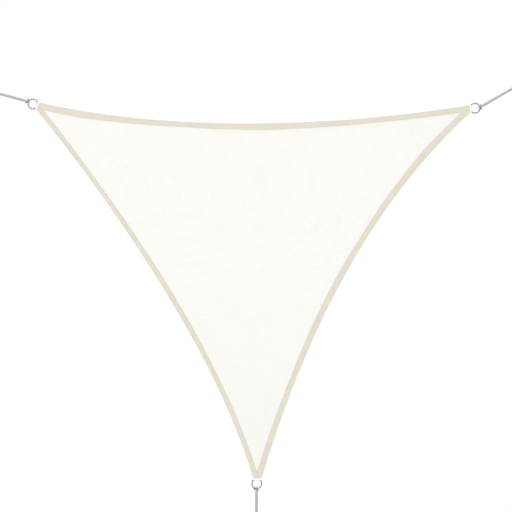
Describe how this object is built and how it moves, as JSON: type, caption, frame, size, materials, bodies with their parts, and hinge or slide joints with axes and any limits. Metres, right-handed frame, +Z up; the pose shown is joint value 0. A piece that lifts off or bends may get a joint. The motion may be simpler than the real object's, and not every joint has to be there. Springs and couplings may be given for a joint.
{
  "type": "shade sail",
  "caption": "Triangular shade sail of off-white knitted cloth with hollow edges bound in beige webbing, corner D rings, and taut braided ropes ending in eyes.",
  "frame": {"origin": "middle of the eye at the far end of the left-hand rope, one of the three eyes that hold the sail up", "axes": "+X along the top edge to the right, +Y through the cloth away from its face, +Z up"},
  "size_m": [2.5346, 0.0363, 2.1096],
  "materials": {
    "knitted_cloth": "matt knitted polyethylene cloth, off-white",
    "beige_webbing": "matt woven webbing, beige",
    "white_webbing": "matt woven webbing, white",
    "steel_wire": "satin stainless steel wire",
    "cord": "braided cord, grey-blue, slight sheen"
  },
  "bodies": {
    "root": {"sail_cloth": "knitted_cloth", "binding_top": "beige_webbing", "binding_left": "beige_webbing", "binding_right": "beige_webbing", "tab_left": "white_webbing", "tab_right": "white_webbing", "tab_bottom": "white_webbing", "ring_left": "steel_wire", "ring_right": "steel_wire", "ring_bottom": "steel_wire", "knot_left": "cord", "knot_right": "cord", "knot_bottom": "cord", "rope_left": "cord", "rope_right": "cord", "rope_bottom": "cord", "eye_left": "cord", "eye_right": "cord", "eye_bottom": "cord"}
  },
  "joints": []
}
